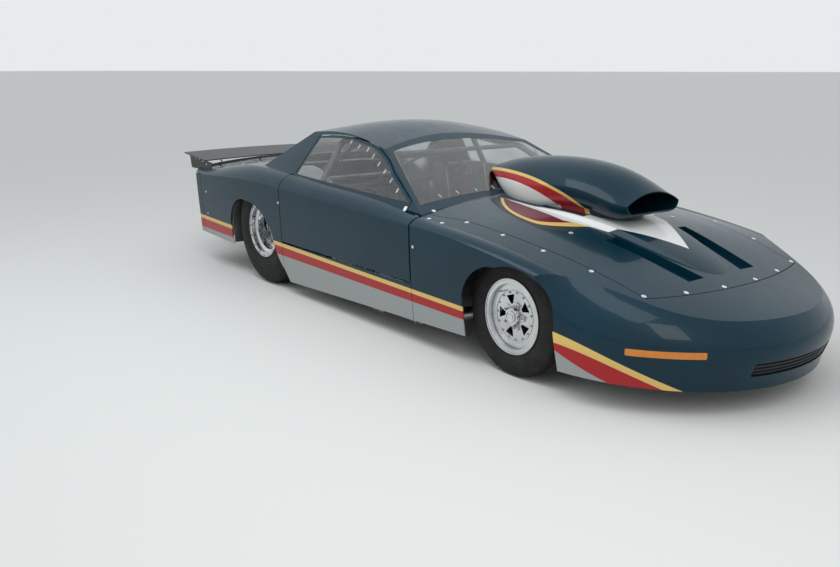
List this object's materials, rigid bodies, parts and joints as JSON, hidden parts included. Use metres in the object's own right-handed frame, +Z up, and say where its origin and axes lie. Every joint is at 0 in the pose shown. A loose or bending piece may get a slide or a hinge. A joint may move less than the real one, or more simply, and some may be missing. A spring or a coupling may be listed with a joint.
{
  "type": "drag racing car",
  "caption": "Two-door coupe drag racing car with a tube chassis, full roll cage, round nose, tall hood scoop, deep rear wheels and wheelie bars.",
  "frame": {"origin": "on the ground below the middle of the overall bounding box", "axes": "+X towards the nose, +Y to the driver's left, +Z up"},
  "size_m": [5.648, 1.8908, 1.2295],
  "materials": {
    "body_paint": "gloss",
    "clear_window": "clear polycarbonate",
    "chassis_tube": "satin",
    "sheet_aluminium": "brushed",
    "polished_aluminium": "polished",
    "tyre_rubber": "matt",
    "steel": "machined",
    "engine_iron": "rough",
    "black_panel": "satin",
    "black_plastic": "matt",
    "amber_lens": "gloss",
    "red_lens": "gloss"
  },
  "bodies": {
    "body": {"dashboard": "black_plastic", "decklid": "body_paint", "driver_seat": "sheet_aluminium", "engine_block": "engine_iron", "exhaust_collectors": "steel", "floor_and_firewall": "sheet_aluminium", "frame_rails": "chassis_tube", "front_clip": "body_paint", "front_control_arms": "chassis_tube", "front_grille": "black_panel", "gearbox_and_driveshaft": "sheet_aluminium", "hood": "body_paint", "hood_scoop": "body_paint", "marker_lamps": "amber_lens", "rear_axle_housing": "chassis_tube", "rear_fascia": "body_paint", "rear_spoiler": "black_panel", "rear_suspension": "steel", "rear_wheel_tubs": "sheet_aluminium", "rear_window": "clear_window", "rocker_panels": "body_paint", "roll_cage": "chassis_tube", "roof_and_quarters": "body_paint", "shifter": "black_plastic", "steering_rack": "sheet_aluminium", "steering_wheel": "black_plastic", "tail_lamps": "red_lens", "wheelie_bars": "chassis_tube", "windshield": "clear_window"},
    "left_door": {"left_door": "body_paint", "left_door_window": "clear_window"},
    "right_door": {"right_door": "body_paint", "right_door_window": "clear_window"},
    "left_knuckle": {"left_front_knuckle": "steel"},
    "right_knuckle": {"right_front_knuckle": "steel"},
    "left_front_wheel": {"left_front_wheel": "polished_aluminium", "left_front_tyre": "tyre_rubber", "left_front_brake_disc": "steel"},
    "right_front_wheel": {"right_front_wheel": "polished_aluminium", "right_front_tyre": "tyre_rubber", "right_front_brake_disc": "steel"},
    "rear_wheels": {"rear_wheels": "polished_aluminium", "rear_tyres": "tyre_rubber", "rear_axle_shaft": "steel"},
    "tie_rods": {"tie_rods": "steel"},
    "wheelie_wheels": {"wheelie_wheels": "black_plastic"}
  },
  "joints": [
    {"name": "left_door_hinge", "type": "hinge", "parent": "body", "child": "left_door", "pos_m": [0.8135, 0.911, 0.555], "axis": [0, 0, 1], "range_deg": [-60, 0]},
    {"name": "right_door_hinge", "type": "hinge", "parent": "body", "child": "right_door", "pos_m": [0.8135, -0.911, 0.555], "axis": [0, 0, 1], "range_deg": [0, 60]},
    {"name": "left_steering", "type": "hinge", "parent": "body", "child": "left_knuckle", "pos_m": [1.6335, 0.69, 0.33], "axis": [0, 0, 1], "range_deg": [-12, 12]},
    {"name": "right_steering", "type": "hinge", "parent": "body", "child": "right_knuckle", "pos_m": [1.6335, -0.69, 0.33], "axis": [0, 0, 1], "range_deg": [-12, 12]},
    {"name": "tie_rod_slide", "type": "slide", "parent": "body", "child": "tie_rods", "axis": [0, 1, 0], "range_m": [-0.0232, 0.0232]},
    {"name": "left_front_wheel_spin", "type": "hinge", "parent": "left_knuckle", "child": "left_front_wheel", "pos_m": [1.6335, 0.79, 0.33], "axis": [0, 1, 0], "continuous": true},
    {"name": "right_front_wheel_spin", "type": "hinge", "parent": "right_knuckle", "child": "right_front_wheel", "pos_m": [1.6335, -0.79, 0.33], "axis": [0, 1, 0], "continuous": true},
    {"name": "rear_axle_spin", "type": "hinge", "parent": "body", "child": "rear_wheels", "pos_m": [-1.0335, 0, 0.419], "axis": [0, 1, 0], "continuous": true},
    {"name": "wheelie_wheel_spin", "type": "hinge", "parent": "body", "child": "wheelie_wheels", "pos_m": [-2.7635, 0, 0.1], "axis": [0, 1, 0], "continuous": true}
  ],
  "couplings": [
    {"joint": "right_steering", "follows": "left_steering", "ratio": 1},
    {"joint": "tie_rod_slide", "follows": "left_steering", "m_per_rad": 0.11}
  ]
}
